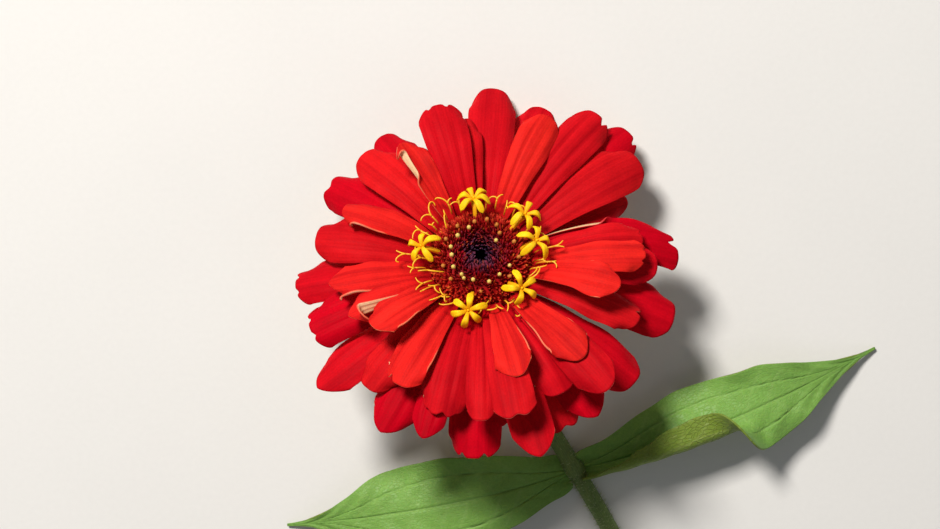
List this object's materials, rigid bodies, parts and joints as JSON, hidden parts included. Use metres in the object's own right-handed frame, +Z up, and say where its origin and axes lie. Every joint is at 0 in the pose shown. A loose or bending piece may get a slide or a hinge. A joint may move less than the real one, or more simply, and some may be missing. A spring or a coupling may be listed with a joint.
{
  "type": "zinnia flower",
  "caption": "Cut zinnia flower lying on a surface: red strap petals in whorls around a domed disc with star florets, on a bent stem with a pair of leaves.",
  "frame": {"origin": "middle of the bounding box's bottom face, on the surface that the flower lies on", "axes": "+Z up from the surface; the flower's face leans 28 degrees from +Z towards +Y; the stem runs from under the head towards -Y and a little towards +X"},
  "size_m": [0.1212, 0.1088, 0.0474],
  "materials": {
    "petal_red": "living petal, satin, with fine lengthwise veins",
    "disc_maroon": "matt and chaffy",
    "floret_yellow": "fleshy, satin",
    "involucre_green": "matt leafy bracts",
    "stem_green": "ribbed and finely hairy",
    "leaf_green": "matt and veined"
  },
  "bodies": {
    "root": {"disc": "disc_maroon", "involucre": "involucre_green", "leaf_left": "leaf_green", "leaf_right": "leaf_green", "petal_inner_01": "petal_red", "petal_inner_02": "petal_red", "petal_inner_03": "petal_red", "petal_inner_04": "petal_red", "petal_inner_05": "petal_red", "petal_inner_06": "petal_red", "petal_inner_07": "petal_red", "petal_inner_08": "petal_red", "petal_inner_09": "petal_red", "petal_inner_10": "petal_red", "petal_inner_11": "petal_red", "petal_middle_01": "petal_red", "petal_middle_02": "petal_red", "petal_middle_03": "petal_red", "petal_middle_04": "petal_red", "petal_middle_05": "petal_red", "petal_middle_06": "petal_red", "petal_middle_07": "petal_red", "petal_middle_08": "petal_red", "petal_middle_09": "petal_red", "petal_middle_10": "petal_red", "petal_middle_11": "petal_red", "petal_middle_12": "petal_red", "petal_middle_13": "petal_red", "petal_middle_14": "petal_red", "petal_middle_15": "petal_red", "petal_outer_01": "petal_red", "petal_outer_02": "petal_red", "petal_outer_03": "petal_red", "petal_outer_04": "petal_red", "petal_outer_05": "petal_red", "petal_outer_06": "petal_red", "petal_outer_07": "petal_red", "petal_outer_08": "petal_red", "petal_outer_09": "petal_red", "petal_outer_10": "petal_red", "petal_outer_11": "petal_red", "petal_outer_12": "petal_red", "petal_outer_13": "petal_red", "petal_outer_14": "petal_red", "petal_outer_15": "petal_red", "petal_outer_16": "petal_red", "petal_outer_17": "petal_red", "petal_outer_18": "petal_red", "petal_outer_19": "petal_red", "star_floret_1": "floret_yellow", "star_floret_2": "floret_yellow", "star_floret_3": "floret_yellow", "star_floret_4": "floret_yellow", "star_floret_5": "floret_yellow", "star_floret_6": "floret_yellow", "stem": "stem_green"}
  },
  "joints": []
}
